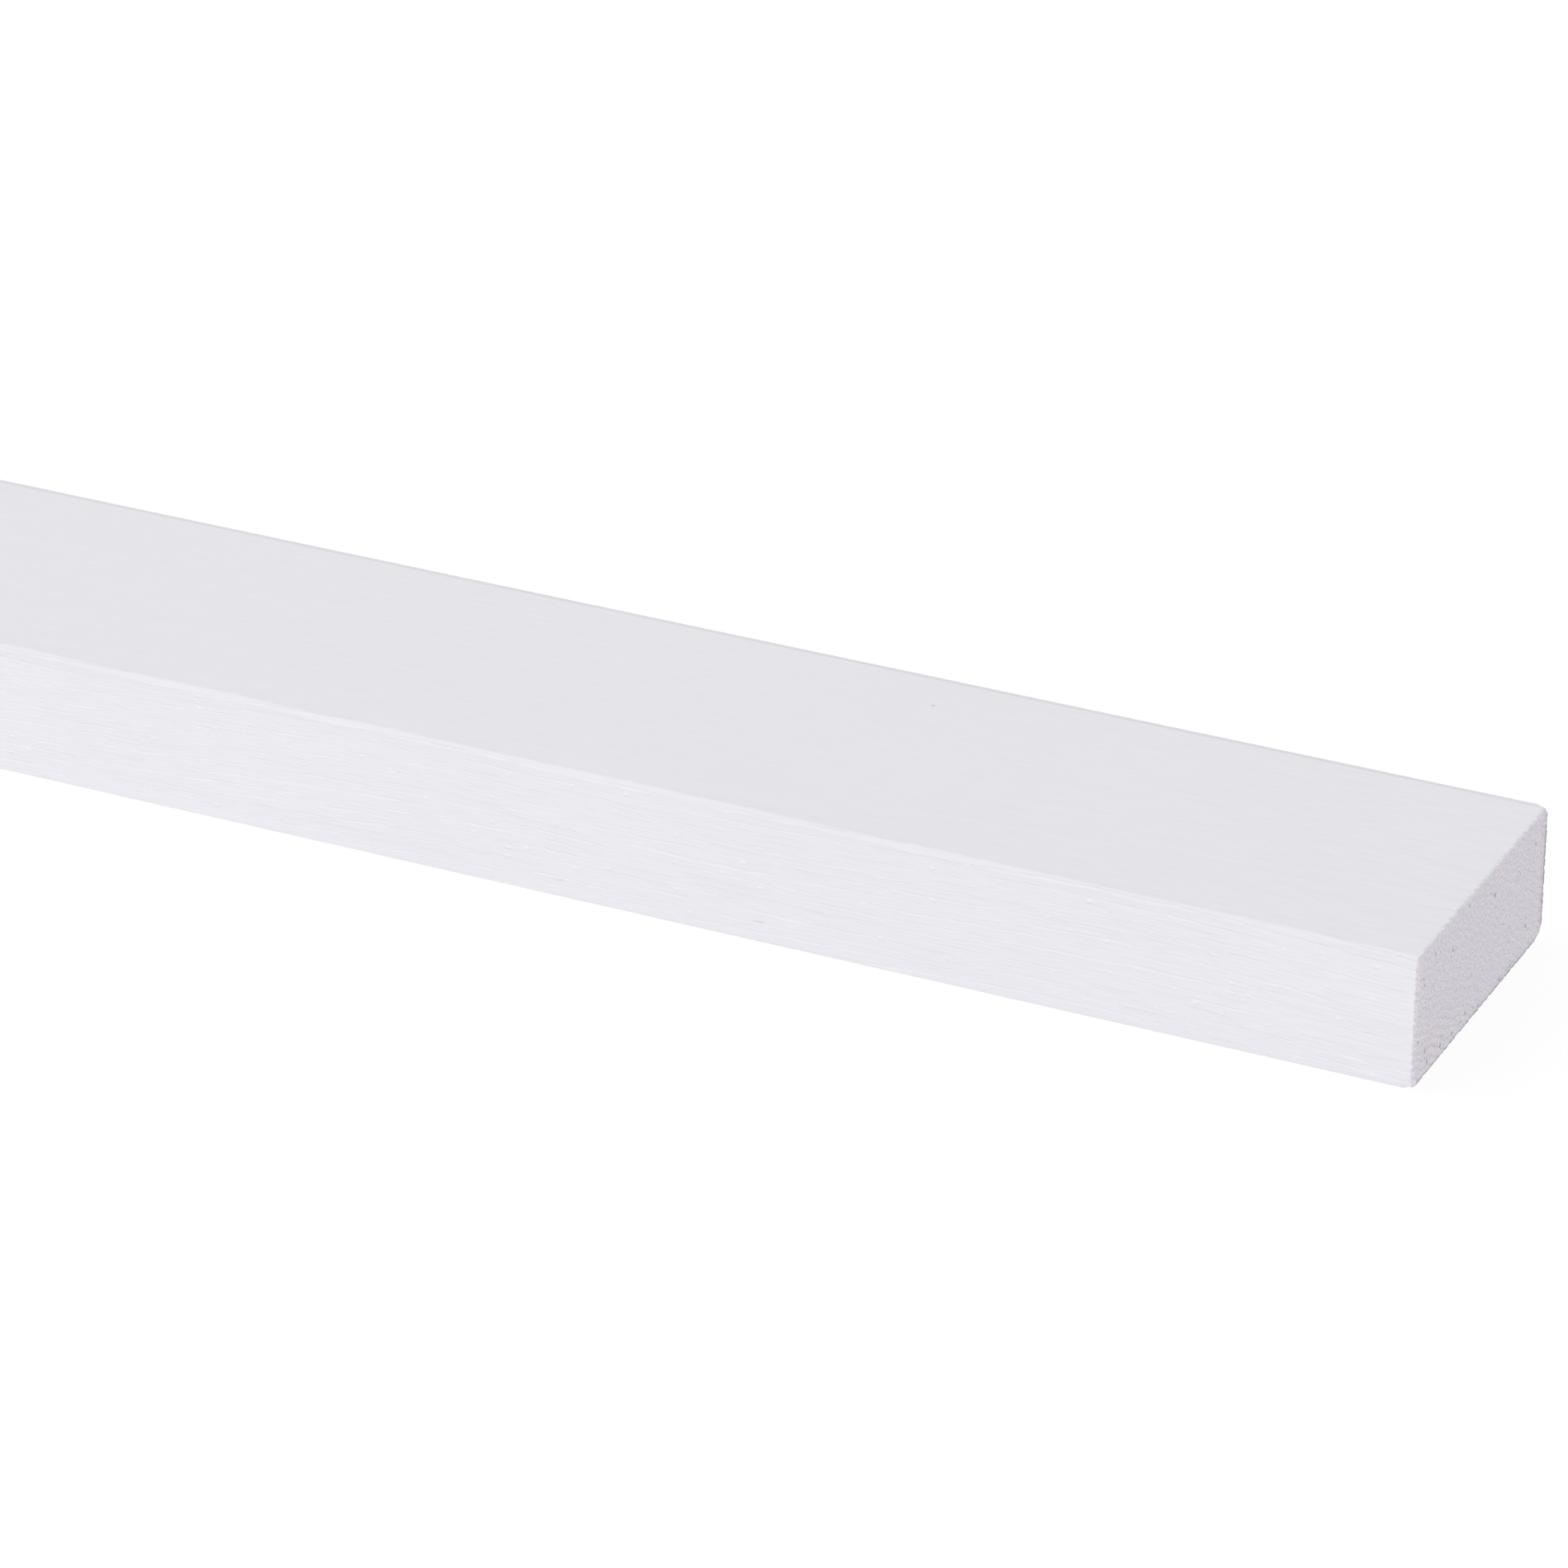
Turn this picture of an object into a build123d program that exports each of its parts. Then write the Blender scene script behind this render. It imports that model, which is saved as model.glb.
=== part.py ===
from build123d import *
import os

# Planed softwood batten, one straight piece of stock lying on its wide face.
# Frame: +X runs along the grain, -Y is the narrow edge that faces the viewer, +Z is up.
# The origin is the middle of the underside. All sizes are in millimetres.

# The piece as it is sold, and its finished section.
LENGTH = 2400.0
WIDTH = 44.0
THICKNESS = 18.0

# The planer rounds the four long corners of the section.
ARRIS_RADIUS = 2.0

# Both ends are cut square, and the sharp rim of each cut is sanded off.
END_EASING = 0.5


def planed_section():
    """Cross-section at the left-hand end: a rectangle on its long side, with rounded corners."""
    left_end = Plane.YZ.offset(-LENGTH / 2)
    resting = Pos(0, THICKNESS / 2)
    return left_end * resting * RectangleRounded(WIDTH, THICKNESS, ARRIS_RADIUS)


def ease_ends(stock):
    """Round the rim of each sawn end, which meets the four long corners as well."""
    by_length = stock.faces().sort_by(Axis.X)
    rims = by_length.first.edges() + by_length.last.edges()
    return fillet(rims, radius=END_EASING)


def batten():
    """The section carried straight through the length of the piece, then cut ends eased."""
    stock = extrude(planed_section(), amount=LENGTH)
    return ease_ends(stock)


os.makedirs("parts", exist_ok=True)
export_step(batten(), "parts/batten.step")
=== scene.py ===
"""Planed batten, primed white: one straight piece of softwood stock, finished for a close view.

Laid out as an add-on and run as a script. Places and sizes are in metres, as in the frame, and the
fields of the wood are worked out in millimetres, where a name says mm.
"""

import math

import bmesh
import bpy
from mathutils import Matrix, Vector


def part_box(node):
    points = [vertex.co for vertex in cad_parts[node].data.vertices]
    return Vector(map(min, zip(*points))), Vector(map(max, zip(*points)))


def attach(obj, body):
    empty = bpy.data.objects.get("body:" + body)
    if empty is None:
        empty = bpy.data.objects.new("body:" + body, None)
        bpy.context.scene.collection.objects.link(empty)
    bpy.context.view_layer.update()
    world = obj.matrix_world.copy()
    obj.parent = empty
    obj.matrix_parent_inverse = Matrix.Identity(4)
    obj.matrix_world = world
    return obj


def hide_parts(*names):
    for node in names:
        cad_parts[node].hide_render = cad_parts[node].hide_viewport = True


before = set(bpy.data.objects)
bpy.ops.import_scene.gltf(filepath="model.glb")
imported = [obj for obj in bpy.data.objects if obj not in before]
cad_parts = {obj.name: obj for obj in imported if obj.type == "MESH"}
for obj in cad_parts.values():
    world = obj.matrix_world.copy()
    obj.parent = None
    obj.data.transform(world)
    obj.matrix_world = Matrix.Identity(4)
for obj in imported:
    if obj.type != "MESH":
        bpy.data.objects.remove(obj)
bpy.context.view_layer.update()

bl_info = {
    "name": "Primed planed batten",
    "version": (1, 0, 0),
    "blender": (4, 5, 0),
    "location": "3D View > Sidebar > Batten",
    "description": "A planed softwood batten with raised grain, sawn ends and a coat of white primer",
    "category": "Object",
}

NODE = "batten"
LOW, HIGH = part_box(NODE)
END = HIGH.x
SIDE = HIGH.y
THICK = HIGH.z - LOW.z
MM = 0.001
PER_METRE = 1000.0
X, Y, Z = range(3)

# A face looks straight along an axis when its normal is longer than this along it.
SQUARE = 0.999

END_MM, SIDE_MM, THICK_MM = END * PER_METRE, SIDE * PER_METRE, THICK * PER_METRE

# Marks on the front edge: distance from the end that shows, height and length, in millimetres.
LIFTED_FIBRES = (
    (22.2, 9.5, 1.0), (21.9, 8.2, 0.7), (20.0, 6.8, 0.6), (23.2, 5.2, 0.6), (21.2, 4.0, 0.6),
    (45.2, 12.8, 0.6), (8.0, 13.2, 0.4), (37.7, 15.1, 0.4), (46.7, 4.9, 0.4), (58.2, 3.8, 0.5),
    (64.0, 10.2, 0.5), (87.0, 11.9, 0.6), (136.0, 10.4, 0.6))
SPLITS = ((19.2, 16.6, 0.7), (82.5, 3.5, 2.4), (109.0, 3.0, 2.6))

# Open pores on the end that shows: distance from the front edge, height and width, in millimetres.
PORES = (
    (26.3, 13.6, 0.45), (17.5, 16.4, 0.3), (12.6, 12.9, 0.35), (6.8, 15.2, 0.35), (12.1, 12.3, 0.25),
    (3.5, 12.7, 0.3), (3.0, 13.7, 0.25), (37.9, 4.1, 0.35), (19.3, 6.4, 0.25), (18.0, 2.0, 0.4),
    (16.6, 1.6, 0.3), (13.7, 1.5, 0.4), (10.4, 2.9, 0.25), (9.8, 1.7, 0.4), (5.9, 4.5, 0.25),
    (4.6, 3.5, 0.45), (2.2, 5.9, 0.35), (5.6, 1.7, 0.4), (40.1, 14.0, 0.35), (22.5, 0.9, 0.4),
    (29.4, 1.0, 0.45), (33.1, 1.0, 0.4))

# The same marks as centres and sizes, with a speck on the wide face.
ON_FRONT = [(Vector((END_MM - run, -SIDE_MM, height)), size) for run, height, size in LIFTED_FIBRES]
IN_FRONT = [(Vector((END_MM - run, -SIDE_MM, height)), size) for run, height, size in SPLITS]
IN_END = [(Vector((END_MM, across - SIDE_MM, height)), size) for across, height, size in PORES]
SPECK = [(Vector((END_MM - 75.9, 13.1, THICK_MM)), 0.7)]

# Two corners of the end that shows were knocked: the near lower one and the far upper one. Primer
# gathered on the tip of the first.
KNOCKED = [
    (Vector((END_MM, 0.6 - SIDE_MM, 0.4)), 2.6),
    (Vector((END_MM, SIDE_MM - 0.2, THICK_MM - 0.2)), 2.4)]
TIP = [(Vector((END_MM, 0.9 - SIDE_MM, 0.8)), 1.6)]

# The outermost strip of a sawn end, where the painted shade of the lower and far rims and the
# lightening of the other two are full, in millimetres.
RIM_MM = 0.15

# How marks are stretched before their distance is taken: a larger number makes a mark shorter that
# way, and 2 fits a mark to its size.
ROUND = (2.0, 2.0, 2.0)
WIDE_ROUND = (1.0, 1.0, 1.0)
PORE_CORE = (1.3, 1.3, 1.3)
FIBRE = (1.8, 1.6, 4.0)
UNDER_FIBRE = (2.2, 1.6, 5.0)
DASH = (2.0, 2.0, 12.0)


def linear(code):
    """An sRGB hex value as the linear RGBA that Blender's colours hold."""
    channels = [int(code[i:i + 2], 16) / 255 for i in (1, 3, 5)]
    return tuple(c / 12.92 if c <= 0.04045 else ((c + 0.055) / 1.055) ** 2.4 for c in channels) + (1.0,)


class BattenSection(bpy.types.PropertyGroup):
    """The section's edges, as the planer and the sander leave them."""

    arris: bpy.props.FloatProperty(
        name="Arris radius", description="Rounding of the four long corners",
        default=2 * MM, min=0.5 * MM, max=5 * MM, unit="LENGTH", precision=4)
    easing: bpy.props.FloatProperty(
        name="End easing", description="Rounding of the rim of each sawn end",
        default=0.2 * MM, min=0.05 * MM, max=2 * MM, unit="LENGTH", precision=4)


class BattenGrain(bpy.types.PropertyGroup):
    """How the tree grew through the piece, and how far its surface stands in relief."""

    ring_mm: bpy.props.FloatProperty(
        name="Ring width", description="Width of one year's growth, in millimetres",
        default=1.08, min=0.3, max=8)
    pith_y_mm: bpy.props.FloatProperty(
        name="Pith across",
        description="Place of the tree's centre across the wide face, in millimetres",
        default=-44.0)
    pith_z_mm: bpy.props.FloatProperty(
        name="Pith height", description="Height of the tree's centre, in millimetres", default=-72.0)
    raised_mm: bpy.props.FloatProperty(
        name="Raised grain", description="Height of the hard rings over the soft ones, in millimetres",
        default=0.06, min=0, max=0.3)
    fibre_mm: bpy.props.FloatProperty(
        name="Fibre", description="Depth of the fine furrows between fibres, in millimetres",
        default=0.02, min=0, max=0.2)
    lifted_mm: bpy.props.FloatProperty(
        name="Lifted fibre", description="Height of the largest lifted fibres, in millimetres",
        default=0.14, min=0, max=0.5)
    lean_mm: bpy.props.FloatProperty(
        name="Lean", description="Rise of the grain on its way to the end that shows, in millimetres",
        default=3.2)
    burr_mm: bpy.props.FloatProperty(
        name="Burr",
        description="Reach of the fibres that the saw leaves standing at a rim, in millimetres",
        default=0.5, min=0, max=1)
    ragged_mm: bpy.props.FloatProperty(
        name="Ragged rim",
        description="How far fibres are broken back at the rim of a sawn end, in millimetres",
        default=0.09, min=0, max=1)
    pore_mm: bpy.props.FloatProperty(
        name="Pore", description="Depth of the open pores on the end grain, in millimetres",
        default=0.18, min=0, max=1)
    knocked_mm: bpy.props.FloatProperty(
        name="Knocked corner",
        description="How far two corners of the end are knocked in, in millimetres",
        default=0.2, min=0, max=1)
    sawn_mm: bpy.props.FloatProperty(
        name="Sawn end", description="Depth of the saw's roughness on the end grain, in millimetres",
        default=0.05, min=0, max=0.5)


class BattenPaint(bpy.types.PropertyGroup):
    """Colours and gloss of the primer."""

    primer: bpy.props.FloatVectorProperty(
        name="Primer", description="White primer on the planed faces", subtype="COLOR", size=4,
        min=0, max=1, default=linear("#EAE9EF"))
    # The end grain's primers are darker than that of the faces, partly for the end grain's own tone and
    # partly as painted shade of the end, which faces away from the light.
    end_primer: bpy.props.FloatVectorProperty(
        name="End primer", description="Primer soaked into the end grain", subtype="COLOR", size=4,
        min=0, max=1, default=linear("#DBD7E0"))
    end_blush: bpy.props.FloatVectorProperty(
        name="Thin primer", description="End grain where the wood shows faintly through",
        subtype="COLOR", size=4, min=0, max=1, default=linear("#DDD7DF"))
    pore: bpy.props.FloatVectorProperty(
        name="Pore", description="Bottom of an unfilled pore", subtype="COLOR", size=4,
        min=0, max=1, default=linear("#8F8488"))
    roughness: bpy.props.FloatProperty(
        name="Roughness", description="Roughness of the dry primer", default=0.19, min=0, max=1,
        subtype="FACTOR")


class BattenStage(bpy.types.PropertyGroup):
    """Floor, light and camera."""

    floor: bpy.props.FloatVectorProperty(
        name="Floor", description="Colour of the floor's matt film", subtype="COLOR", size=4,
        min=0, max=1, default=linear("#F4F4F4"))
    horizon: bpy.props.FloatProperty(
        name="Horizon", description="Strength of the light from the pale walls all round",
        default=1.69, min=0)
    zenith: bpy.props.FloatProperty(
        name="Overhead",
        description="Light added straight overhead; below 0 it is taken away",
        default=-1.34)
    front: bpy.props.FloatProperty(
        name="Front",
        description="Light added at the front and taken away at the back; below 0 the other way round",
        default=-0.19)
    left: bpy.props.FloatProperty(
        name="Left",
        description="Light added at the left and taken away at the right",
        default=0.4)
    softbox: bpy.props.FloatProperty(
        name="Softbox", description="Strength of the softbox, where 1 is white", default=1.6, min=0)
    lens: bpy.props.FloatProperty(
        name="Lens", description="Focal length on a frame 36 mm wide, in millimetres",
        default=174.35, min=1)
    azimuth: bpy.props.FloatProperty(
        name="Azimuth", description="Bearing of the camera, from straight in front of the narrow edge",
        default=math.radians(24.992), subtype="ANGLE")
    elevation: bpy.props.FloatProperty(
        name="Elevation", description="Height of the camera above the horizon",
        default=math.radians(26.701), subtype="ANGLE")
    roll: bpy.props.FloatProperty(
        name="Roll", description="Turn of the camera about its own line of sight",
        default=math.radians(0.498), subtype="ANGLE")
    place: bpy.props.FloatVectorProperty(
        name="Place", description="The camera, from the front lower corner of the end that shows",
        default=(0.25668, -0.72096, 0.42254), subtype="TRANSLATION", unit="LENGTH")


# Inputs and outputs go by name, or by number from the top of a node. Of the inputs by number, Map
# Range has 0 for the value, 1 and 2 for the range it comes from and 3 and 4 for the one it goes to;
# Noise and Voronoi have 0 for the place, 2 for the scale, 3 for the detail and 4 for the roughness;
# Mix has 0 for the factor, 2 and 3 for numbers and 6 and 7 for colours; Vector Math has 3 for a scale.
def add(tree, kind, inputs=(), out=0, **settings):
    """Add one node with its settings, feed its inputs from sockets or values, and return an output."""
    node = tree.nodes.new(kind)
    for name, value in settings.items():
        setattr(node, name, value)
    for key, value in dict(inputs).items():
        if isinstance(value, bpy.types.NodeSocket):
            tree.links.new(value, node.inputs[key])
        else:
            node.inputs[key].default_value = value
    return node.outputs[out]


def profile(tree, value, *points):
    """A value from 0 to 1 led through a smooth curve, whose points run from 0 to 1 as well."""
    out = add(tree, "ShaderNodeFloatCurve", {1: value})
    curve = out.node.mapping.curves[0]
    curve.points[0].location = points[0]
    curve.points[1].location = points[-1]
    for point in points[1:-1]:
        curve.points.new(*point)
    out.node.mapping.update()
    return out


def along_grain(tree, place, length_mm, width_mm, seed, detail=2.0):
    """Noise, 0 to 1, in patches of a length along the grain and a width across it."""
    squeezed = add(tree, "ShaderNodeVectorMath", {
        0: place, 1: (1 / length_mm, 1 / width_mm, 1 / width_mm), 2: (seed, seed * 0.7, seed * 1.3)},
        operation="MULTIPLY_ADD")
    return add(tree, "ShaderNodeTexNoise", {0: squeezed, 2: 1.0, 3: detail})


def growth_rings(tree, place, grain):
    """Place within one year's growth, from 0 in early wood to 1 at its last late wood."""
    wander_mm, wander_length, noise_start = 14.0, 150.0, (3.1, 0.4, 7.7)
    uneven_mm, wave_mm = 2.2, 0.5
    lean_starts, lean_ends = END_MM - 115, END_MM - 15
    slow = add(tree, "ShaderNodeVectorMath", {0: place, 1: (1 / wander_length,) * 3, 2: noise_start},
               operation="MULTIPLY_ADD")
    sway = add(tree, "ShaderNodeTexNoise", {0: slow, 2: 1.0, 3: 1.0}, out="Color")
    pith = Vector((0.0, grain.pith_y_mm + wander_mm / 2, grain.pith_z_mm + wander_mm / 2))
    off_pith = add(tree, "ShaderNodeVectorMath", {0: sway, 1: (0.0, wander_mm, wander_mm), 2: -pith},
                   operation="MULTIPLY_ADD")
    run = add(tree, "ShaderNodeSeparateXYZ", {0: place})
    rise = add(tree, "ShaderNodeMapRange", {
        0: run, 1: lean_starts, 2: lean_ends, 3: 0.0, 4: -grain.lean_mm},
        interpolation_type="SMOOTHSTEP")
    lift = add(tree, "ShaderNodeCombineXYZ", {2: rise})
    leant = add(tree, "ShaderNodeVectorMath", {0: off_pith, 1: lift}, operation="ADD")
    spoke = add(tree, "ShaderNodeVectorMath", {0: place, 1: (0.0, 1.0, 1.0), 2: leant},
                operation="MULTIPLY_ADD")
    radius = add(tree, "ShaderNodeVectorMath", {0: spoke}, out="Value", operation="LENGTH")
    patches = along_grain(tree, place, 60.0, 5.0, 11.3, 1.0)
    uneven = add(tree, "ShaderNodeMath", {0: patches, 1: uneven_mm, 2: radius},
                 operation="MULTIPLY_ADD")
    waves = along_grain(tree, place, 5.0, 1.0, 21.7, 1.0)
    wavy = add(tree, "ShaderNodeMath", {0: waves, 1: wave_mm, 2: uneven}, operation="MULTIPLY_ADD")
    years = add(tree, "ShaderNodeMath", {0: wavy, 1: grain.ring_mm}, operation="DIVIDE")
    return add(tree, "ShaderNodeMath", {0: years}, operation="FRACT")


def weighted(tree, *parts):
    """The sum of some values, each times its weight."""
    total = 0.0
    for value, weight in parts:
        total = add(tree, "ShaderNodeMath", {0: value, 1: weight, 2: total}, operation="MULTIPLY_ADD")
    return total


def product(tree, *values):
    """Some values multiplied together."""
    total = 1.0
    for value in values:
        total = add(tree, "ShaderNodeMath", {0: total, 1: value}, operation="MULTIPLY")
    return total


def largest(tree, *values):
    """The largest of some values, or 0 where all of them are less."""
    total = 0.0
    for value in values:
        total = add(tree, "ShaderNodeMath", {0: total, 1: value}, operation="MAXIMUM")
    return total


def saw_exit(tree, place):
    """1 along the upper rims of the ends, less along the near ones and 0 along the others."""
    starts_mm, full_mm, near_share = 2.0, 1.2, 0.75
    split = add(tree, "ShaderNodeSeparateXYZ", {0: place}).node
    across, height = split.outputs[Y], split.outputs[Z]
    high = add(tree, "ShaderNodeMapRange", {0: height, 1: THICK_MM - starts_mm, 2: THICK_MM - full_mm})
    before_far = add(tree, "ShaderNodeMapRange", {
        0: across, 1: SIDE_MM - 4, 2: SIDE_MM - 1, 3: 1.0, 4: 0.0})
    by_front = add(tree, "ShaderNodeMapRange", {
        0: across, 1: starts_mm - SIDE_MM, 2: full_mm - SIDE_MM, 4: near_share})
    off_floor = add(tree, "ShaderNodeMapRange", {0: height, 1: 0.8, 2: 3.0})
    return largest(tree, product(tree, high, before_far), product(tree, by_front, off_floor))


def domes(tree, place, marks, stretch, drop=0.0):
    """Domes of 0 to 1 on some marks, each a centre and a size, moved down by a share of the size."""
    raised = []
    for centre, size in marks:
        middle = centre - Vector((0, 0, drop * size))
        off = add(tree, "ShaderNodeVectorMath", {0: place, 1: middle}, operation="SUBTRACT")
        shaped = add(tree, "ShaderNodeVectorMath", {0: off, 1: Vector(stretch) / size},
                     operation="MULTIPLY")
        far = add(tree, "ShaderNodeVectorMath", {0: shaped}, out="Value", operation="LENGTH")
        raised.append(add(tree, "ShaderNodeMapRange", {0: far, 1: 0.15, 2: 1.0, 3: 1.0, 4: 0.0},
                          interpolation_type="SMOOTHSTEP"))
    return largest(tree, *raised)


def from_rounded_outline(tree, depth, radius_mm):
    """Distance in from the outline of the section, up to its corner radius, in millimetres."""
    corner = (0.0, radius_mm, radius_mm)
    inside = add(tree, "ShaderNodeVectorMath", {0: corner, 1: depth}, operation="SUBTRACT")
    held = add(tree, "ShaderNodeVectorMath", {0: inside, 1: (0.0, 0.0, 0.0)}, operation="MAXIMUM")
    flat = add(tree, "ShaderNodeVectorMath", {0: held, 1: (0.0, 1.0, 1.0)}, operation="MULTIPLY")
    run = add(tree, "ShaderNodeVectorMath", {0: flat}, out="Value", operation="LENGTH")
    return add(tree, "ShaderNodeMath", {0: radius_mm, 1: run}, operation="SUBTRACT")


def face_relief(tree, place, on_end, on_edge, soft, grain):
    """How far the planed faces and the sawn ends lie under their planes, in millimetres."""
    broken = along_grain(tree, place, 14.0, 1.1, 2.9)
    wear_and_rim_shade = add(tree, "ShaderNodeMapRange", {0: broken, 1: 0.35, 2: 0.65, 3: 0.35, 4: 1.0})
    furrow = add(tree, "ShaderNodeMath", {0: soft, 1: wear_and_rim_shade}, operation="MULTIPLY")
    fibre = along_grain(tree, place, 7.0, 0.6, 5.2, 1.0)
    fine = add(tree, "ShaderNodeMath", {0: fibre, 1: grain.fibre_mm}, operation="MULTIPLY")
    grained = add(tree, "ShaderNodeMath", {0: furrow, 1: grain.raised_mm, 2: fine},
                  operation="MULTIPLY_ADD")
    planed = add(tree, "ShaderNodeMath", {0: grained, 1: on_edge}, operation="MULTIPLY")
    fibres_up = domes(tree, place, ON_FRONT, FIBRE)
    lifted = add(tree, "ShaderNodeMath", {0: fibres_up, 1: -grain.lifted_mm, 2: planed},
                 operation="MULTIPLY_ADD")

    bites_per_mm = 2.2
    bite = add(tree, "ShaderNodeTexNoise", {0: place, 2: bites_per_mm, 3: 2.0})
    rough = add(tree, "ShaderNodeMath", {0: bite, 1: grain.sawn_mm}, operation="MULTIPLY")
    pits = domes(tree, place, IN_END, ROUND)
    sawn = add(tree, "ShaderNodeMath", {0: pits, 1: grain.pore_mm, 2: rough},
               operation="MULTIPLY_ADD")
    return add(tree, "ShaderNodeMix", {0: on_end, 2: lifted, 3: sawn})


def rim_relief(tree, place, from_end, from_outline, soft, grain):
    """How far the rims of the ends reach out along the piece, and how far corners are knocked in."""
    rubbed_mm, rubbed_height = 0.1, 1.2
    at_end = add(tree, "ShaderNodeMapRange", {0: from_end, 1: 0.4, 2: 1.2, 3: 1.0, 4: 0.0},
                 interpolation_type="SMOOTHSTEP")
    burred = add(tree, "ShaderNodeMapRange", {0: from_outline, 1: 0.12, 2: 0.36, 3: 1.0, 4: 0.0},
                 interpolation_type="SMOOTHSTEP")
    chipped = add(tree, "ShaderNodeMapRange", {0: from_outline, 1: 0.25, 2: 0.9, 3: 1.0, 4: 0.0},
                  interpolation_type="SMOOTHSTEP")
    across, height = (add(tree, "ShaderNodeSeparateXYZ", {0: place}, out=axis) for axis in (Y, Z))

    # Fibres stand up unevenly, and at the near rim the soft ones of each ring stand up less.
    ends = along_grain(tree, place, 3.0, 0.45, 6.6, 1.0)
    by_front = add(tree, "ShaderNodeMapRange", {
        0: across, 1: 1.5 - SIDE_MM, 2: 1.0 - SIDE_MM, 4: -0.25})
    combed = add(tree, "ShaderNodeMath", {0: soft, 1: by_front, 2: ends}, operation="MULTIPLY_ADD")
    stands = add(tree, "ShaderNodeMapRange", {0: combed, 1: 0.28, 2: 0.5, 3: 0.45, 4: 1.0})
    torn = add(tree, "ShaderNodeMath", {0: soft, 1: 0.12, 2: ends}, operation="MULTIPLY_ADD")
    gone = add(tree, "ShaderNodeMapRange", {0: torn, 1: 0.45, 2: 0.68})
    low = add(tree, "ShaderNodeMapRange", {0: height, 1: 0.0, 2: rubbed_height, 3: 1.0, 4: 0.0},
              interpolation_type="SMOOTHSTEP")

    exit_side = saw_exit(tree, place)
    burr = product(tree, stands, burred, exit_side, at_end)
    chip = product(tree, gone, chipped, at_end)
    rubbed = product(tree, low, at_end)
    reach = weighted(tree, (burr, grain.burr_mm * MM), (chip, -grain.ragged_mm * MM),
                     (rubbed, -rubbed_mm * MM))
    corners = domes(tree, place, KNOCKED, WIDE_ROUND)
    knocked = product(tree, corners, at_end, -grain.knocked_mm * MM)
    return add(tree, "ShaderNodeCombineXYZ", {0: reach, 1: knocked, 2: knocked})


def relief_tree(grain, arris_mm):
    """Geometry nodes that move the surface: raised grain, sawn ends and ragged rims.

    They also keep how much grain each point shows, in an attribute that the primer reads.
    """
    tree = bpy.data.node_groups.new("planed and sawn relief", "GeometryNodeTree")
    tree.interface.new_socket("Geometry", in_out="INPUT", socket_type="NodeSocketGeometry")
    tree.interface.new_socket("Geometry", in_out="OUTPUT", socket_type="NodeSocketGeometry")
    shape = add(tree, "NodeGroupInput")
    spot = add(tree, "GeometryNodeInputPosition")
    normal = add(tree, "GeometryNodeInputNormal")
    place = add(tree, "ShaderNodeVectorMath", {0: spot, 3: PER_METRE}, operation="SCALE")

    # How far a point is from the end planes and from the outline of the section, in millimetres.
    folded = add(tree, "ShaderNodeVectorMath", {0: place, 1: (0, 0, THICK_MM / 2)},
                 operation="SUBTRACT")
    inside = add(tree, "ShaderNodeVectorMath", {0: folded}, operation="ABSOLUTE")
    depth = add(tree, "ShaderNodeVectorMath", {0: (END_MM, SIDE_MM, THICK_MM / 2), 1: inside},
                operation="SUBTRACT")
    from_end = add(tree, "ShaderNodeSeparateXYZ", {0: depth})
    from_outline = from_rounded_outline(tree, depth, arris_mm)

    # The narrow edges show their grain in full, and the wide faces only a sixth of it.
    facing_out = add(tree, "ShaderNodeVectorMath", {0: normal}, operation="ABSOLUTE")
    faces = add(tree, "ShaderNodeSeparateXYZ", {0: facing_out}).node
    on_end = add(tree, "ShaderNodeMapRange", {0: faces.outputs[X], 1: 0.5, 2: 0.95},
                 interpolation_type="SMOOTHSTEP")
    on_edge = add(tree, "ShaderNodeMapRange", {0: faces.outputs[Y], 1: 0.3, 2: 0.95, 3: 0.16, 4: 1.0},
                  interpolation_type="SMOOTHSTEP")

    # Early wood sinks and late wood stands up, with a quick drop from one year to the next.
    year = growth_rings(tree, place, grain)
    soft = profile(tree, year, (0.0, 0.9), (0.14, 1.0), (0.5, 0.45), (0.76, 0.05), (0.84, 0.0),
                   (1.0, 0.7))
    face = face_relief(tree, place, on_end, on_edge, soft, grain)
    inward = add(tree, "ShaderNodeMath", {0: face, 1: -MM}, operation="MULTIPLY")
    sunk = add(tree, "ShaderNodeVectorMath", {0: normal, 3: inward}, operation="SCALE")

    # The saw leaves a burr of fibres at the upper and near rims, and breaks fibres back at all four.
    rim = rim_relief(tree, place, from_end, from_outline, soft, grain)
    towards = add(tree, "ShaderNodeVectorMath", {0: folded}, operation="SIGN")
    pulled = add(tree, "ShaderNodeVectorMath", {0: towards, 1: rim}, operation="MULTIPLY")
    offset = add(tree, "ShaderNodeVectorMath", {0: sunk, 1: pulled}, operation="ADD")
    kept = add(tree, "GeometryNodeStoreNamedAttribute", {
        0: shape, 2: "edge_grain", 3: on_edge}, data_type="FLOAT", domain="POINT")
    moved = add(tree, "GeometryNodeSetPosition", {0: kept, 3: offset})
    out = tree.nodes.new("NodeGroupOutput")
    tree.links.new(moved, out.inputs[0])
    return tree


def pick(piece, kind, test):
    """In edit mode, select only those verts, edges or faces of a piece that pass a test."""
    bpy.ops.mesh.select_all(action="DESELECT")
    shape = bmesh.from_edit_mesh(piece.data)
    for part in getattr(shape, kind):
        if test(part):
            part.select_set(True)
    bmesh.update_edit_mesh(piece.data, loop_triangles=False, destructive=False)


def slices(low, high, step):
    """Evenly spaced places between two limits, about a step apart, limits left out."""
    count = max(1, round((high - low) / step))
    return [low + (high - low) * i / count for i in range(1, count)]


def beside(low, high, step):
    """Slices with one more close beside each limit, which keeps the shading of an arris to itself."""
    close = 0.12 * MM
    return [low + close, *slices(low + close, high - close, step), high - close]


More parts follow.
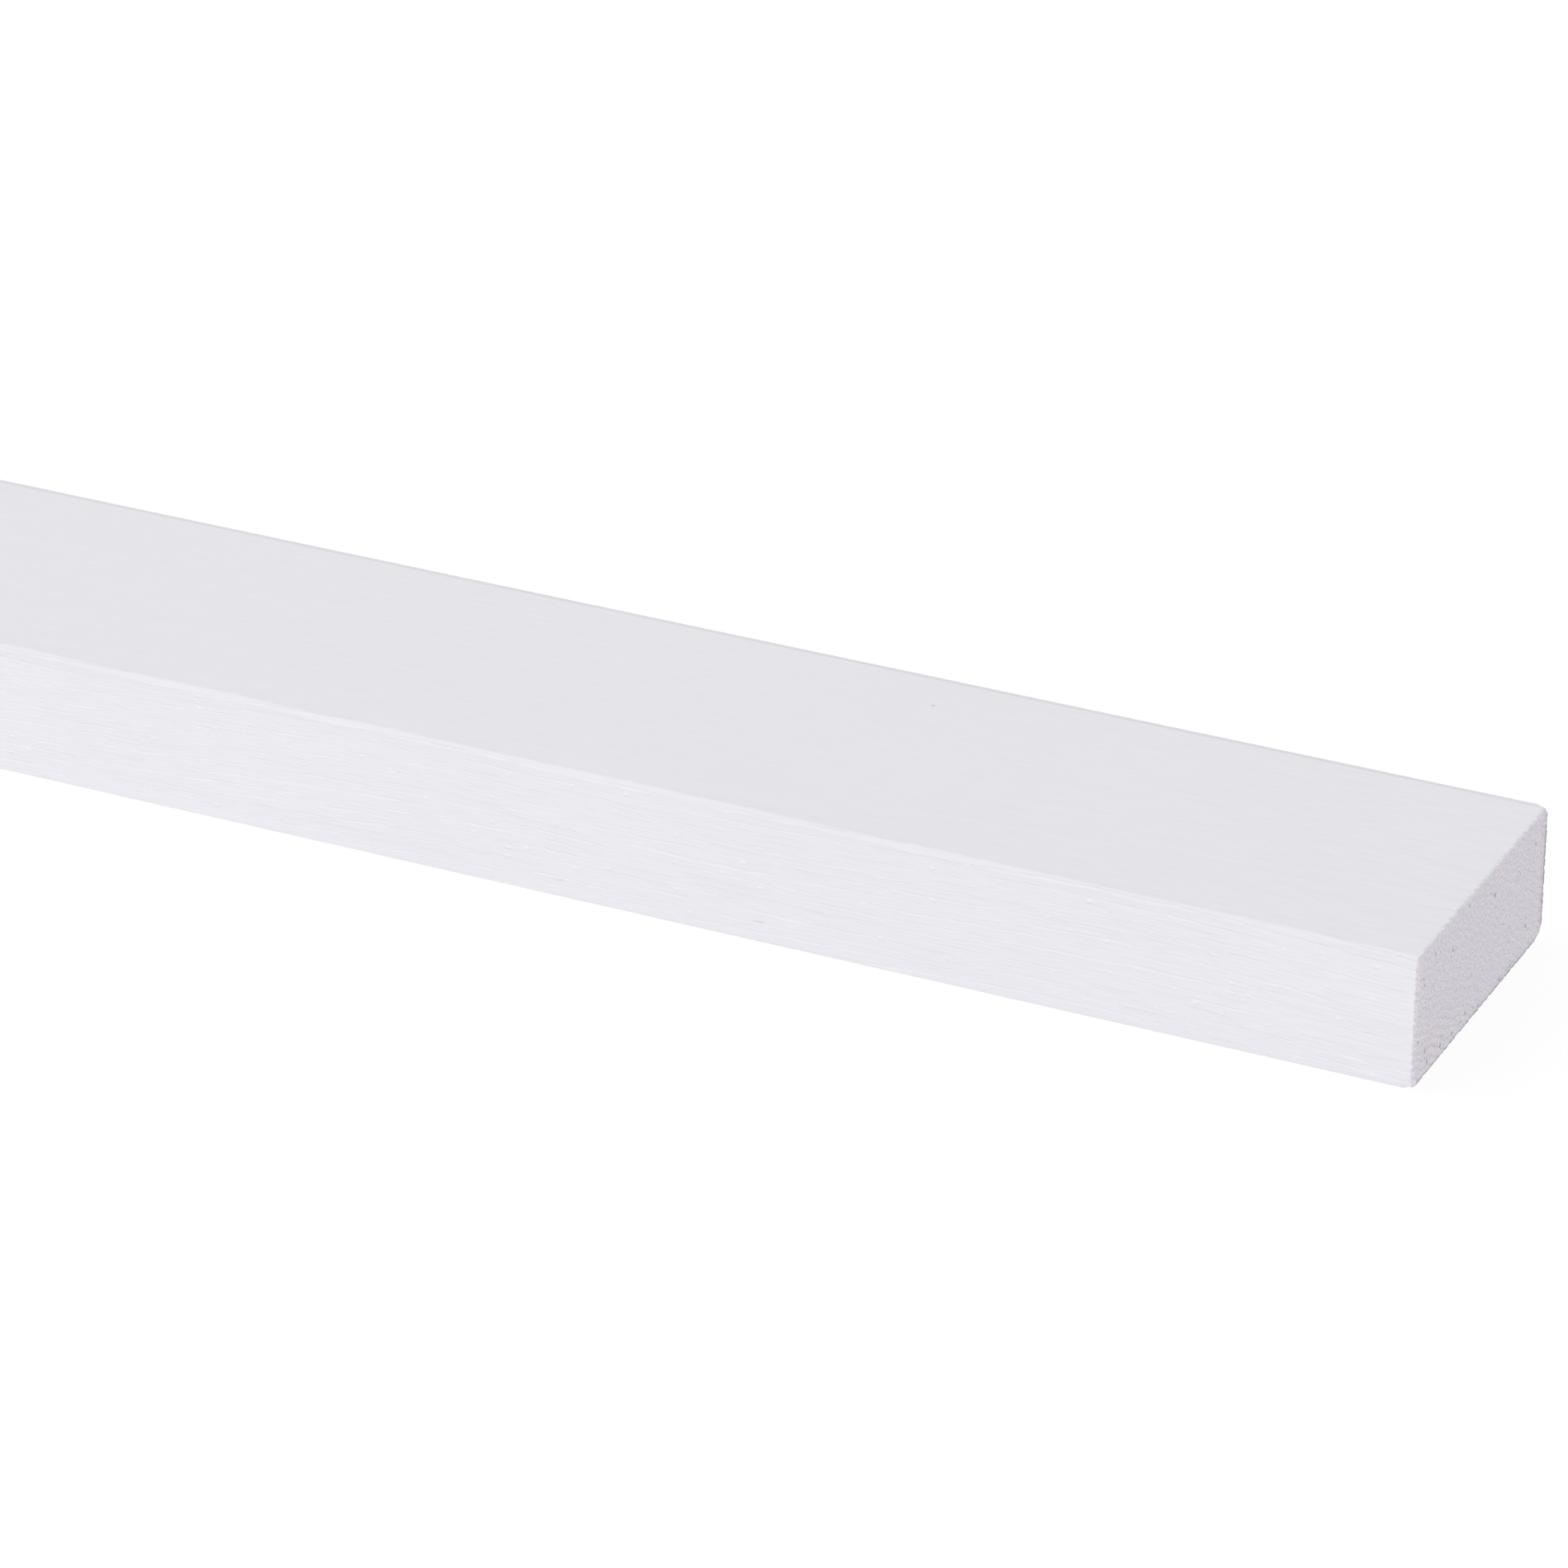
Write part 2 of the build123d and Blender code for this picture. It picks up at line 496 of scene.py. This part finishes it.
def cut(piece, test, axis, places):
    """Cut the faces that pass a test square to an axis, at each place."""
    normal = [0.0, 0.0, 0.0]
    normal[axis] = 1.0
    for place in places:
        pick(piece, "faces", test)
        bpy.ops.mesh.bisect(plane_co=[place * n for n in normal], plane_no=normal)


def facing(axis, low, high, way=0):
    """A test for faces between two distances along the piece that look along an axis.

    With a way of 1 or -1 only those that look up or down the axis pass, and with 0 both do.
    """
    def test(face):
        look = face.normal[axis]
        within = low < face.calc_center_median().x < high
        return within and abs(look) > SQUARE and look * way >= 0
    return test


def between(low, high):
    """A test for all faces between two distances along the piece."""
    return lambda face: low < face.calc_center_median().x < high


def divide(piece, low, high, *cuts):
    """Cut a stretch of the piece evenly into short lengths, by dividing its long edges.

    Each number is of cuts. One call makes at most 100, so a long stretch has its parts cut again.
    """
    def runs_along(edge):
        a, b = (v.co for v in edge.verts)
        return low < (a.x + b.x) / 2 < high and abs(a.y - b.y) + abs(a.z - b.z) < 1e-7
    for number in cuts:
        pick(piece, "edges", runs_along)
        bpy.ops.mesh.subdivide(number_cuts=number)


def refine(piece, centre, looks, *spans):
    """Cut the faces round a centre that look along an axis; each span is an axis, a reach, a step."""
    def near(face):
        middle = face.calc_center_median()
        return (abs(face.normal[looks]) > SQUARE and abs(middle[looks] - centre[looks]) < 0.1 * MM
                and all(abs(middle[axis] - centre[axis]) < reach for axis, reach, step in spans))
    for axis, reach, step in spans:
        cut(piece, near, axis, slices(centre[axis] - reach, centre[axis] + reach, step))


def planed_stock(section):
    """The planed piece: a box at the frame's size, its arrises and the rims of its ends rounded."""
    bpy.ops.object.select_all(action="DESELECT")
    bpy.ops.mesh.primitive_cube_add(size=1, location=(LOW + HIGH) / 2, scale=HIGH - LOW)
    piece = bpy.context.active_object
    piece.name = piece.data.name = "primed_batten"
    bpy.ops.object.transform_apply(location=True, rotation=False, scale=True)
    bpy.ops.object.mode_set(mode="EDIT")
    bpy.ops.mesh.select_mode(type="EDGE")
    pick(piece, "edges", lambda e: abs(e.verts[0].co.x - e.verts[1].co.x) > END)
    bpy.ops.mesh.bevel(offset=section.arris, segments=8)
    pick(piece, "edges", lambda e: sum(abs(f.normal.x) > 0.5 for f in e.link_faces) == 1)
    bpy.ops.mesh.bevel(offset=section.easing, segments=3)
    return piece


def lay_out_mesh(piece, section):
    """Divide the piece finely where it is looked at closely, and more coarsely along the rest."""
    tip, joint = 3.5 * MM, 1 * MM
    shown = END - 215 * MM
    flat_side, flat_top, flat_low = SIDE - section.arris, HIGH.z - section.arris, LOW.z + section.arris
    bpy.ops.mesh.select_mode(type="FACE")
    everywhere = between(-2 * END, 2 * END)
    cut(piece, everywhere, X, (tip - END, tip + joint - END, shown - 2 * joint, shown,
                               END - tip - joint, END - tip))

    # The narrow edges carry the raised grain, so they are cut much finer than the wide faces.
    fine, medium, coarse, wide = 0.25 * MM, 0.4 * MM, 0.5 * MM, 2.6 * MM
    near_part, far_part = (shown, END - tip), (tip - END, shown)
    cut(piece, facing(Y, *near_part, -1), Z, slices(flat_low, flat_top, fine))
    cut(piece, facing(Y, *near_part, 1), Z, slices(flat_low, flat_top, coarse))
    cut(piece, facing(Z, *near_part), Y, beside(-flat_side, flat_side, wide))
    cut(piece, facing(Y, *far_part), Z, slices(flat_low, flat_top, medium))
    cut(piece, facing(Z, *far_part), Y, beside(-flat_side, flat_side, wide))

    # The end that shows is cut finer than the far one, and both are cut close beside their rims.
    rim, beside_rim = section.easing, 0.1 * MM
    shown_end = (END - tip, 2 * END, 0.28 * MM, fine)
    far_end = (-2 * END, tip - END, wide / 2, coarse)
    for low, high, across, up in (shown_end, far_end):
        cut(piece, between(low, high), Y, slices(-flat_side, flat_side, across))
        cut(piece, between(low, high), Z, slices(flat_low, flat_top, up))
        corners = slices(-SIDE + rim, -flat_side, across) + slices(flat_side, SIDE - rim, across)
        cut(piece, facing(X, low, high), Y, [rim + beside_rim - SIDE, *corners])
        corners = slices(LOW.z + rim, flat_low, up) + slices(flat_top, HIGH.z - rim, up)
        cut(piece, facing(X, low, high), Z, [*corners, HIGH.z - rim - beside_rim])

    # A cut close behind each rim keeps the rim's shading to itself.
    behind = rim + 0.05 * MM
    cut(piece, between(END - tip, END), X, (END - behind,))
    cut(piece, between(-END, tip - END), X, (behind - END,))

    # Lengths of 0.7 mm along the stretch that shows, of 16 mm along the rest, and less by the rims.
    bpy.ops.mesh.select_mode(type="EDGE")
    divide(piece, END - tip, END - behind - beside_rim, 9)
    divide(piece, shown, END - tip - joint, 2, 99)
    divide(piece, tip + joint - END, shown - 2 * joint, 1, 67)
    divide(piece, behind + beside_rim - END, tip - END, 5)

    # The mesh is finer still on each lifted fibre and each pore.
    bpy.ops.mesh.select_mode(type="FACE")
    smallest, across_share, up_share = 0.07 * MM, 0.6, 0.35
    for centre, size in ON_FRONT:
        refine(piece, centre * MM, Y, (X, across_share * size * MM, 0.11 * MM),
               (Z, up_share * size * MM, smallest))
    for centre, size in IN_END:
        refine(piece, centre * MM, X, (Y, across_share * size * MM, smallest),
               (Z, across_share * size * MM, smallest))


def mark_ends(piece):
    """Give the sawn ends and their lower and far rims their own material slot."""
    bpy.ops.mesh.select_mode(type="FACE")
    leaning = 0.1
    def sawn(face):
        lower_or_far = face.normal.z < -leaning or face.normal.y > leaning
        return abs(face.normal.x) > (leaning if lower_or_far else SQUARE)
    pick(piece, "faces", sawn)
    piece.active_material_index = 1
    bpy.ops.object.material_slot_assign()


def new_material(name):
    """A material with an empty node tree, and that tree."""
    made = bpy.data.materials.new(name)
    made.use_nodes = True
    made.node_tree.nodes.clear()
    return made, made.node_tree


def scattered(tree, spots, cells, flat, rarest, surest):
    """Domes of 0 to 1, flat on top, in random cells, of which only a share get one."""
    cell = add(tree, "ShaderNodeTexVoronoi", {0: spots, 2: cells}).node
    dome = add(tree, "ShaderNodeMapRange", {
        0: cell.outputs["Distance"], 1: flat, 2: 0.3, 3: 1.0, 4: 0.0},
        interpolation_type="SMOOTHSTEP")
    chance = add(tree, "ShaderNodeSeparateColor", {0: cell.outputs["Color"]})
    rare = add(tree, "ShaderNodeMapRange", {0: chance, 1: rarest, 2: surest})
    return product(tree, dome, rare)


def scattered_nibs(tree, place, drop_mm):
    """Domes of 0 to 1, scattered at random and longer along the grain, moved down a little."""
    per_mm_along, per_mm_across = 0.45, 0.9
    squeezed = add(tree, "ShaderNodeVectorMath", {
        0: place, 1: (per_mm_along, per_mm_across, per_mm_across),
        2: (0.0, 0.0, per_mm_across * drop_mm)}, operation="MULTIPLY_ADD")
    return scattered(tree, squeezed, 1.0, 0.06, 0.6, 0.95)


def band(tree, value, start, full, last, stop):
    """1 from full to last, fading to 0 towards start on one side and towards stop on the other."""
    rising = add(tree, "ShaderNodeMapRange", {0: value, 1: start, 2: full},
                 interpolation_type="SMOOTHSTEP")
    falling = add(tree, "ShaderNodeMapRange", {0: value, 1: stop, 2: last},
                  interpolation_type="SMOOTHSTEP")
    return product(tree, rising, falling)


def painted_arris_light_and_shade(tree, place):
    """Painted light and shade round the long corners: lighter on the near upper one, and darker on
    the far ones and along the lower ones.

    Each lies in a band that is given by its distances from the side or the underside.
    """
    split = add(tree, "ShaderNodeSeparateXYZ", {0: place}).node
    across, height = split.outputs[Y], split.outputs[Z]
    near = band(tree, across, 2.1 - SIDE_MM, 1.7 - SIDE_MM, 1.45 - SIDE_MM, 1.1 - SIDE_MM)
    far = band(tree, across, SIDE_MM - 2.4, SIDE_MM - 1.9, SIDE_MM - 0.9, SIDE_MM - 0.4)
    lower = band(tree, height, 1.1, 0.6, 0.35, 0.1)
    return weighted(tree, (near, 0.02), (far, -0.15), (lower, -0.045))


def frayed_rim(tree, place):
    """1 on the fibres that stand out past the end that shows."""
    run = add(tree, "ShaderNodeSeparateXYZ", {0: place})
    past = add(tree, "ShaderNodeMapRange", {0: run, 1: END_MM - 0.12, 2: END_MM + 0.15})
    return product(tree, past, saw_exit(tree, place))


def end_streaks(tree, place):
    """Fine streaks of thicker and thinner primer, stronger towards the end that shows."""
    starts_mm, full_mm, long_mm, fine_mm = 60, 15, 4.0, 0.3
    strokes = along_grain(tree, place, long_mm, fine_mm, 15.1)
    lines = add(tree, "ShaderNodeMapRange", {0: strokes, 1: 0.36, 2: 0.68, 3: -0.7, 4: 1.0})
    run = add(tree, "ShaderNodeSeparateXYZ", {0: place})
    near = add(tree, "ShaderNodeMapRange", {
        0: run, 1: END_MM - starts_mm, 2: END_MM - full_mm, 3: 0.5, 4: 1.0})
    return product(tree, lines, near)


def primed_planed_spruce(paint, grain):
    """White water-based primer, sprayed on planed spruce.

    The coat is thin and dries with a satin sheen. It raises the grain, so the narrow edges show fine
    ridges along the piece, with nibs where fibres stand up, and the wide faces stay almost plain.
    """
    made, tree = new_material("primed planed spruce")
    here = add(tree, "ShaderNodeTexCoord", out="Object")
    place = add(tree, "ShaderNodeVectorMath", {0: here, 3: PER_METRE}, operation="SCALE")
    edge = add(tree, "ShaderNodeAttribute", out="Fac", attribute_name="edge_grain")

    year = growth_rings(tree, place, grain)
    broken = along_grain(tree, place, 5.0, 0.8, 2.9)
    shown = add(tree, "ShaderNodeMapRange", {0: broken, 1: 0.38, 2: 0.62, 3: 0.4, 4: 1.0})
    groove = profile(tree, year, (0.0, 1.0), (0.1, 0.8), (0.2, 0.1), (0.4, 0.0), (0.96, 0.0),
                     (1.0, 0.9))
    lip = profile(tree, year, (0.0, 0.0), (0.66, 0.0), (0.8, 0.9), (0.92, 1.0), (1.0, 0.1))
    grooved = product(tree, groove, shown)
    lipped = product(tree, lip, shown)

    # Fibres are a quarter of a millimetre wide, about five times as wide as real ones, to show.
    fibres = along_grain(tree, place, 2.2, 0.26, 8.3)
    split = add(tree, "ShaderNodeMapRange", {0: fibres, 1: 0.3, 2: 0.44, 3: 1.0, 4: 0.0})
    streaky = add(tree, "ShaderNodeMapRange", {0: fibres, 1: 0.54, 2: 0.68})

    # Nibs are a third of a millimetre wide, and each has a painted shadow under it.
    stipple = add(tree, "ShaderNodeTexNoise", {0: place, 2: 2.5, 3: 1.0})
    nib = scattered_nibs(tree, place, 0.0)
    under = scattered_nibs(tree, place, 0.22)
    lifted = domes(tree, place, ON_FRONT, FIBRE)
    beneath = domes(tree, place, ON_FRONT, UNDER_FIBRE, drop=0.2)
    dashes = domes(tree, place, IN_FRONT, DASH)
    dirt = domes(tree, place, SPECK, ROUND)
    # Painted shadows under the nibs and under the lifted fibres.
    painted_shade_under_nibs = add(tree, "ShaderNodeMath", {0: under, 1: nib}, operation="SUBTRACT", use_clamp=True)
    painted_shade_under_fibres = add(tree, "ShaderNodeMath", {0: beneath, 1: lifted}, operation="SUBTRACT", use_clamp=True)

    # Heights of the finest relief, in millimetres.
    ridged = weighted(tree, (fibres, 0.012), (lipped, 0.05), (nib, 0.05))
    on_edge = product(tree, ridged, edge)
    height = weighted(tree, (on_edge, 1.0), (stipple, 0.002))
    bump = add(tree, "ShaderNodeBump", {"Strength": 1.0, "Distance": MM, "Height": height})

    # The primer is thin and darker in the splits, and darker in the grooves, partly for thin primer
    # and partly as painted shade. Painted shadows lie under the nibs and lifted fibres, and painted
    # highlights on the lips of the late wood, the nibs and the lifted fibres.
    cloud = add(tree, "ShaderNodeTexNoise", {0: place, 2: 0.03, 3: 2.0})
    base = add(tree, "ShaderNodeMapRange", {0: cloud, 1: 0.3, 2: 0.7, 3: 0.99, 4: 1.0})
    thin_primer_and_painted_shading = weighted(tree, (grooved, 0.006), (split, 0.003), (painted_shade_under_nibs, 0.05), (painted_shade_under_fibres, 0.14),
                    (dashes, 0.12), (lipped, -0.05), (streaky, -0.014), (nib, -0.07),
                    (lifted, -0.12), (1.0, 0.012))
    on_sides = product(tree, thin_primer_and_painted_shading, edge)

    # On the frayed rim there is painted light in dots and painted shade between them.
    dots = add(tree, "ShaderNodeMapRange", {0: stipple, 1: 0.42, 2: 0.58, 3: -1.0, 4: 0.5})
    rim = product(tree, frayed_rim(tree, place), dots)
    # Painted light and painted shade round the long corners are added to the face's colour here.
    whiter = weighted(tree, (painted_arris_light_and_shade(tree, place), 1.0), (end_streaks(tree, place), 0.022),
                      (rim, 0.12), (dirt, -0.3), (1.0, 0.002))
    tint = weighted(tree, (base, 1.0), (whiter, 1.0), (on_sides, -1.0))
    colour = add(tree, "ShaderNodeVectorMath", {0: tuple(paint.primer)[:3], 3: tint},
                 operation="SCALE")
    surface = add(tree, "ShaderNodeBsdfPrincipled", {
        "Base Color": colour, "Roughness": paint.roughness, "IOR": 1.5, "Normal": bump})
    out = tree.nodes.new("ShaderNodeOutputMaterial")
    tree.links.new(surface, out.inputs["Surface"])
    return made


def far_rim(tree, place, up_mm, across_mm):
    """1 on the lower and far rims of an end, where painted shade is laid, to 0 at a distance from each.
    """
    split = add(tree, "ShaderNodeSeparateXYZ", {0: place}).node
    across, height = split.outputs[Y], split.outputs[Z]
    low = add(tree, "ShaderNodeMapRange", {0: height, 1: up_mm, 2: RIM_MM})
    far = add(tree, "ShaderNodeMapRange", {0: across, 1: SIDE_MM - across_mm, 2: SIDE_MM - RIM_MM})
    return largest(tree, low, far)


def near_rim(tree, place, across_mm, down_mm):
    """1 on the near and upper rims of an end, where primer builds up and painted light lies on the
    burr, to 0 at a distance from each.
    """
    split = add(tree, "ShaderNodeSeparateXYZ", {0: place}).node
    across, height = split.outputs[Y], split.outputs[Z]
    high = add(tree, "ShaderNodeMapRange", {0: height, 1: THICK_MM - down_mm, 2: THICK_MM - RIM_MM})
    near = add(tree, "ShaderNodeMapRange", {0: across, 1: across_mm - SIDE_MM, 2: RIM_MM - SIDE_MM})
    return largest(tree, high, near)


def ring_arcs(tree, place, year):
    """Dotted dark arcs of open early wood, in the near lower corner of an end."""
    line = profile(tree, year, (0.0, 1.0), (0.1, 0.75), (0.22, 0.1), (0.3, 0.0), (0.92, 0.0),
                   (1.0, 0.9))
    dots = add(tree, "ShaderNodeTexNoise", {0: place, 2: 1.6, 3: 1.0})
    open_ones = add(tree, "ShaderNodeMapRange", {0: dots, 1: 0.42, 2: 0.6, 3: 0.25, 4: 1.0})
    split = add(tree, "ShaderNodeSeparateXYZ", {0: place}).node
    across, height = split.outputs[Y], split.outputs[Z]
    low = add(tree, "ShaderNodeMapRange", {0: height, 1: 7.5, 2: 5.5})
    near = add(tree, "ShaderNodeMapRange", {
        0: across, 1: 18 - SIDE_MM, 2: 10 - SIDE_MM, 3: 0.15, 4: 1.0})
    return product(tree, line, open_ones, low, near)


def primed_end_grain(paint, grain):
    """The same primer on sawn end grain, which drinks it.

    The saw leaves a fine felt of cut fibres, the film is thin and dead matt, some pores stay open
    and dark, and the wood shows through as a faint blush.
    """
    made, tree = new_material("primed sawn end grain")
    here = add(tree, "ShaderNodeTexCoord", out="Object")
    place = add(tree, "ShaderNodeVectorMath", {0: here, 3: PER_METRE}, operation="SCALE")

    # Cut fibres are a few hundredths of a millimetre wide, and are drawn at a third of one, to show.
    felt_per_mm, specks_per_mm = 3.2, 1.5
    felt = add(tree, "ShaderNodeTexNoise", {0: place, 2: felt_per_mm, 3: 3.0, 4: 0.75})
    year = growth_rings(tree, place, grain)
    early = profile(tree, year, (0.0, 1.0), (0.15, 0.9), (0.35, 0.3), (0.6, 0.1), (0.93, 0.1),
                    (1.0, 0.9))
    speck = product(tree, scattered(tree, place, specks_per_mm, 0.1, 0.62, 1.0), early)
    pore = domes(tree, place, IN_END, PORE_CORE)
    sunk = weighted(tree, (speck, -0.08), (pore, -0.1))
    height = add(tree, "ShaderNodeMath", {0: felt, 1: 0.1, 2: sunk}, operation="MULTIPLY_ADD")
    bump = add(tree, "ShaderNodeBump", {"Strength": 1.0, "Distance": MM, "Height": height})

    # The film is a little warmer where it soaked in, by the upper and near rims and at the far side.
    patches = add(tree, "ShaderNodeTexNoise", {0: place, 2: 0.16, 3: 2.0})
    soaked = add(tree, "ShaderNodeMapRange", {0: patches, 1: 0.47, 2: 0.64})
    build_up = near_rim(tree, place, 5.0, 1.4)
    across = add(tree, "ShaderNodeSeparateXYZ", {0: place}, out=Y)
    far_side = add(tree, "ShaderNodeMapRange", {0: across, 1: SIDE_MM - 7, 2: SIDE_MM - 4})
    blush = largest(tree, soaked, build_up, far_side)
    film = add(tree, "ShaderNodeMix", {
        0: blush, 6: tuple(paint.end_primer), 7: tuple(paint.end_blush)}, out=2, data_type="RGBA")

    # It is lighter and darker in the felt of cut fibres, darkened on the lower and far rims with
    # painted shade, and lighter along the other two, with painted light on the burr and primer built up
    # there.
    fuzz = add(tree, "ShaderNodeMapRange", {0: felt, 1: 0.36, 2: 0.64, 3: 0.775, 4: 1.195})
    grains = add(tree, "ShaderNodeMapRange", {0: felt, 1: 0.56, 2: 0.68})
    arcs = ring_arcs(tree, place, year)
    patchy = add(tree, "ShaderNodeMapRange", {0: felt, 1: 0.4, 2: 0.6, 3: 1.15, 4: 0.8})
    # Painted shade on the lower and far rims, broken up by the felt.
    wear_and_rim_shade = product(tree, far_rim(tree, place, 0.5, 0.9), patchy)
    fading = add(tree, "ShaderNodeMapRange", {0: across, 1: 5 - SIDE_MM, 2: SIDE_MM - 12})
    # A wider band of painted shade along the lower and far rims, fading towards the front.
    painted_shade_by_rims = product(tree, far_rim(tree, place, 1.7, 2.2), fading)
    # Painted light on the burr of fibres at the upper and near rims.
    lit = add(tree, "ShaderNodeMapRange", {0: felt, 1: 0.42, 2: 0.58, 3: 0.3, 4: 1.0})
    burr = product(tree, near_rim(tree, place, 2.0, 0.9), lit)
    tip = domes(tree, place, TIP, WIDE_ROUND)
    ringed = weighted(tree, (fuzz, 1.0), (grains, 0.06), (early, -0.03), (arcs, -0.17),
                      (speck, -0.3), (wear_and_rim_shade, -0.48), (painted_shade_by_rims, -0.13), (burr, 0.2), (build_up, 0.05),
                      (tip, 0.08))
    speckled = add(tree, "ShaderNodeVectorMath", {0: film, 3: ringed}, operation="SCALE")
    colour = add(tree, "ShaderNodeMix", {0: pore, 6: speckled, 7: tuple(paint.pore)}, out=2,
                 data_type="RGBA")
    surface = add(tree, "ShaderNodeBsdfPrincipled", {
        "Base Color": colour, "Roughness": 0.8, "IOR": 1.5, "Normal": bump})
    out = tree.nodes.new("ShaderNodeOutputMaterial")
    tree.links.new(surface, out.inputs["Surface"])
    return made


class BATTEN_OT_add_batten(bpy.types.Operator):
    """Model the planed piece with its raised grain and sawn ends, and prime it"""

    bl_idname = "batten.add_batten"
    bl_label = "Add primed batten"

    def execute(self, context):
        scene = context.scene
        piece = planed_stock(scene.batten_section)
        lay_out_mesh(piece, scene.batten_section)
        piece.data.materials.append(primed_planed_spruce(scene.batten_paint, scene.batten_grain))
        piece.data.materials.append(primed_end_grain(scene.batten_paint, scene.batten_grain))
        mark_ends(piece)
        bpy.ops.object.mode_set(mode="OBJECT")
        relief = piece.modifiers.new("relief", "NODES")
        relief.node_group = relief_tree(scene.batten_grain, scene.batten_section.arris * PER_METRE)
        bpy.ops.object.modifier_apply(modifier=relief.name)
        bpy.ops.object.shade_smooth()
        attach(piece, "root")
        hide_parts(NODE)
        return {"FINISHED"}


def looked_at(tree):
    """1 for what the camera sees, also mirrored or through glass, and 0 for light on surfaces."""
    ray = add(tree, "ShaderNodeLightPath").node
    kinds = ("Camera", "Glossy", "Transmission")
    return largest(tree, *(ray.outputs[f"Is {kind} Ray"] for kind in kinds))


def studio_floor(stage):
    """A light table: a white glow under a matt film, which keeps a faint shadow of the piece.

    The glow on the piece falls off towards the end that shows, and the camera sees it white.
    """
    film, glow_seen = 0.15, 1.05
    bright, bright_x, dim, dim_x = 1.108, 0.3, 0.912, 1.4
    made, tree = new_material("light table")
    here = add(tree, "ShaderNodeTexCoord", out="Object")
    run = add(tree, "ShaderNodeSeparateXYZ", {0: here})
    even = add(tree, "ShaderNodeMapRange", {0: run, 1: bright_x, 2: dim_x, 3: bright, 4: dim})
    strength = add(tree, "ShaderNodeMix", {0: looked_at(tree), 2: even, 3: glow_seen})
    matt = add(tree, "ShaderNodeBsdfDiffuse", {"Color": tuple(stage.floor)})
    glow = add(tree, "ShaderNodeEmission", {"Strength": strength})
    surface = add(tree, "ShaderNodeMixShader", {0: film, 1: glow, 2: matt})
    out = tree.nodes.new("ShaderNodeOutputMaterial")
    tree.links.new(surface, out.inputs["Surface"])
    return made


def light_dome(stage):
    """Light from the walls all round, strongest at the left and weakest overhead, white to look at."""
    world = bpy.data.worlds.new("studio dome")
    bpy.context.scene.world = world
    world.use_nodes = True
    tree = world.node_tree
    tree.nodes.clear()
    bearing = add(tree, "ShaderNodeTexCoord", out="Generated")
    slope = (-stage.left, -stage.front, stage.zenith)
    lean = add(tree, "ShaderNodeVectorMath", {0: bearing, 1: slope}, out="Value",
               operation="DOT_PRODUCT")
    level = add(tree, "ShaderNodeMath", {0: lean, 1: stage.horizon}, operation="ADD")
    strength = add(tree, "ShaderNodeMix", {0: looked_at(tree), 2: largest(tree, level), 3: 1.0})
    sky = add(tree, "ShaderNodeBackground", {"Color": linear("#FFFFFF"), "Strength": strength})
    out = tree.nodes.new("ShaderNodeOutputWorld")
    tree.links.new(sky, out.inputs["Surface"])


def hang_softbox(stage):
    """A long softbox high over the space in front of the piece, turned a little on its own upright."""
    wide, deep, high, middle, turn = 1.1, 3.0, 2.2, -0.17, math.radians(-13)
    centre = (middle, -SIDE - deep / 2, high)
    bpy.ops.object.light_add(type="AREA", location=centre, rotation=(0, 0, turn))
    box = bpy.context.active_object
    box.name = "softbox"
    box.data.shape = "RECTANGLE"
    box.data.size, box.data.size_y = wide, deep
    box.data.energy = stage.softbox * math.pi * wide * deep


def add_camera(stage):
    """The camera, placed from the front lower corner of the end that shows."""
    bpy.ops.object.camera_add()
    camera = bpy.context.active_object
    camera.data.lens = stage.lens
    camera.data.sensor_width = 36
    corner = Vector((END, -SIDE, LOW.z))
    turn = (Matrix.Rotation(stage.azimuth, 4, "Z")
            @ Matrix.Rotation(math.pi / 2 - stage.elevation, 4, "X")
            @ Matrix.Rotation(stage.roll, 4, "Z"))
    camera.matrix_world = Matrix.Translation(corner + Vector(stage.place)) @ turn
    camera.data.clip_start, camera.data.clip_end = 0.05, 50
    bpy.context.scene.camera = camera


class BATTEN_OT_add_studio(bpy.types.Operator):
    """Lay the white floor, light it softly and set up the camera"""

    bl_idname = "batten.add_studio"
    bl_label = "Add studio"

    def execute(self, context):
        floor_size = 12
        stage = context.scene.batten_stage
        context.scene.view_settings.view_transform = "Standard"
        bpy.ops.object.select_all(action="DESELECT")
        bpy.ops.mesh.primitive_plane_add(size=floor_size, location=(0, 0, LOW.z))
        floor = context.active_object
        floor.name = "studio_floor"
        floor.data.materials.append(studio_floor(stage))
        light_dome(stage)
        hang_softbox(stage)
        add_camera(stage)
        return {"FINISHED"}


class BATTEN_PT_sidebar(bpy.types.Panel):
    """Sizes, grain, paint and stage of the batten"""

    bl_idname = "BATTEN_PT_sidebar"
    bl_label = "Primed batten"
    bl_space_type = "VIEW_3D"
    bl_region_type = "UI"
    bl_category = "Batten"

    def draw(self, context):
        for name in GROUPS:
            box = self.layout.box()
            group = getattr(context.scene, name)
            for prop in group.bl_rna.properties:
                if prop.identifier not in ("rna_type", "name"):
                    box.prop(group, prop.identifier)
        for step in STEPS:
            self.layout.operator(step.bl_idname)


GROUPS = {
    "batten_section": BattenSection,
    "batten_grain": BattenGrain,
    "batten_paint": BattenPaint,
    "batten_stage": BattenStage,
}
STEPS = (BATTEN_OT_add_batten, BATTEN_OT_add_studio)


def register():
    for kind in (*GROUPS.values(), *STEPS, BATTEN_PT_sidebar):
        bpy.utils.register_class(kind)
    for name, kind in GROUPS.items():
        setattr(bpy.types.Scene, name, bpy.props.PointerProperty(type=kind))


def unregister():
    for name in GROUPS:
        delattr(bpy.types.Scene, name)
    for kind in reversed((*GROUPS.values(), *STEPS, BATTEN_PT_sidebar)):
        bpy.utils.unregister_class(kind)


def main():
    """Make the batten and its stage."""
    register()
    bpy.ops.batten.add_batten()
    bpy.ops.batten.add_studio()


if __name__ == "__main__":
    main()
